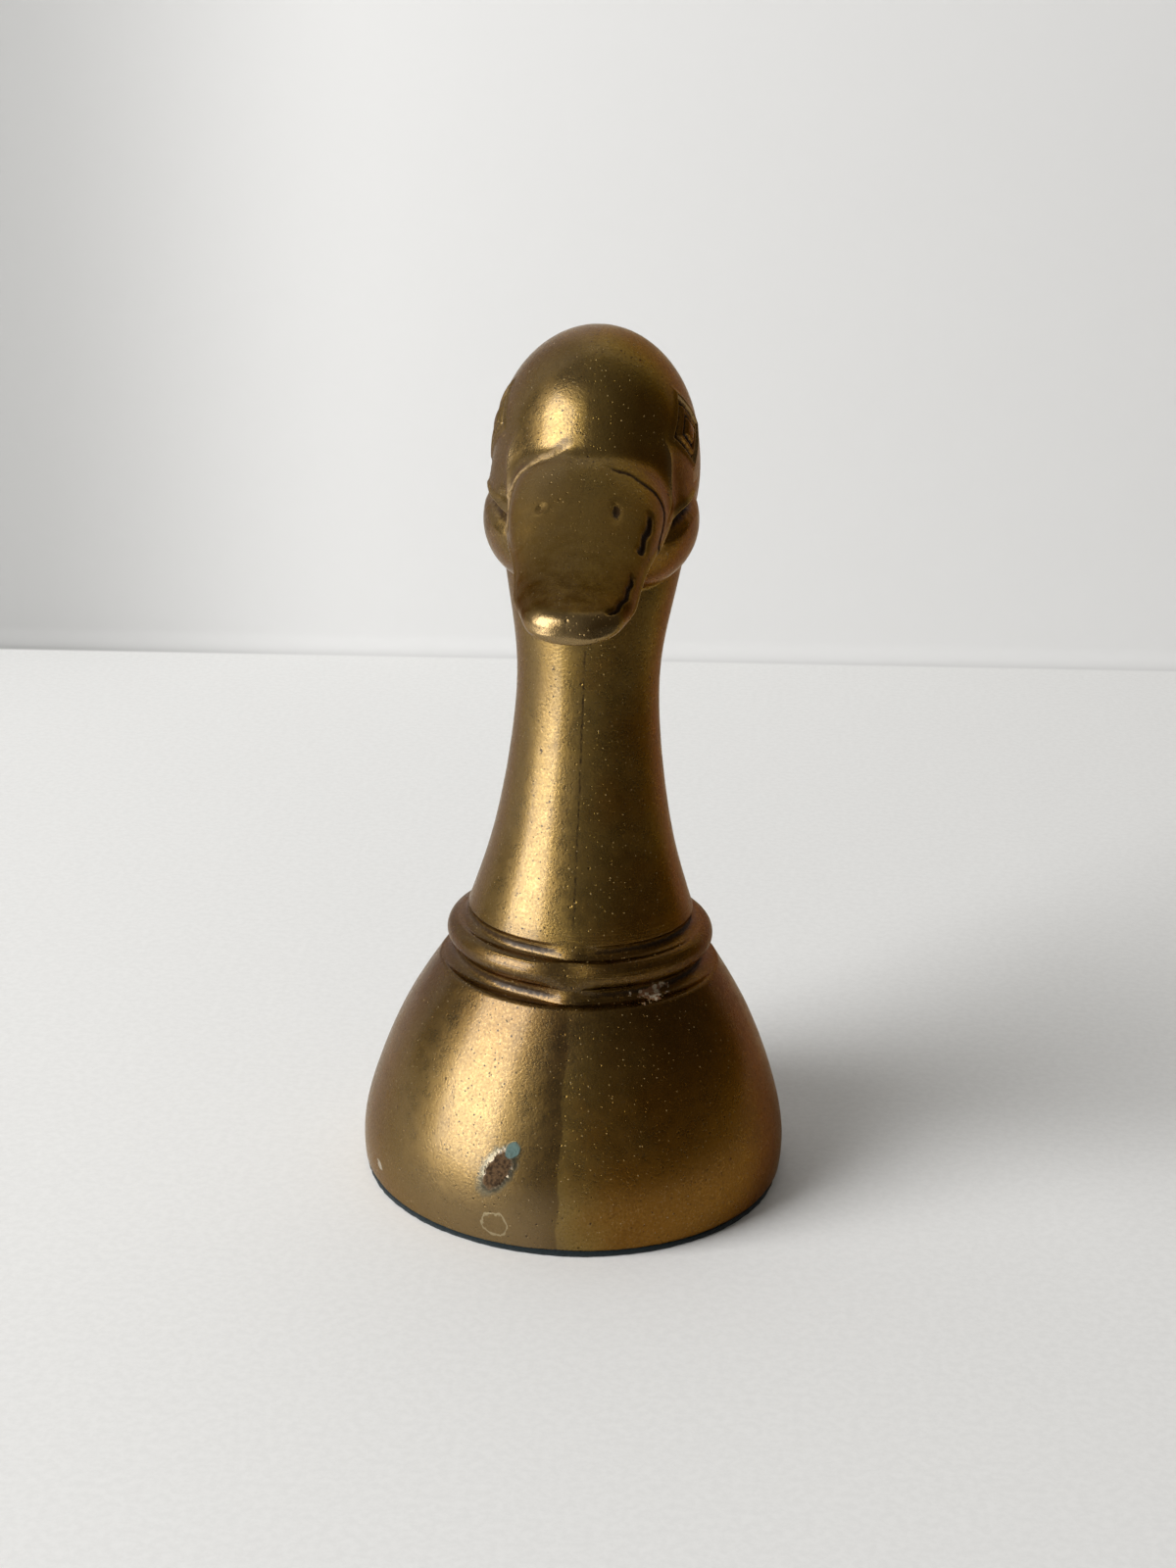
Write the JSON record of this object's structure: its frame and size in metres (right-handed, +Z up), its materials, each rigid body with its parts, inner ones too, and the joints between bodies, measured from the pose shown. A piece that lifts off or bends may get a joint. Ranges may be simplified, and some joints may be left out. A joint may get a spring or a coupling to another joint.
{
  "type": "duck head ornament",
  "caption": "Hollow cast brass duck head on a round bust with a beaded collar, two halves brazed down the middle, closed by a felted disc; stands free as an ornament or bookend.",
  "frame": {"origin": "centre of the felt underside, on the axis of the round bust", "axes": "+Z up, -Y the way the bill points, +X the duck's own left"},
  "size_m": [0.0856, 0.1083, 0.1706],
  "materials": {
    "brass": "aged satin with brown patina",
    "braze": "rough, as brazed",
    "board": "plain hardboard",
    "felt": "pressed felt"
  },
  "bodies": {
    "root": {"left_half_shell": "brass", "right_half_shell": "brass", "seam_braze": "braze", "backing_disc": "board", "felt_pad": "felt"}
  },
  "joints": []
}
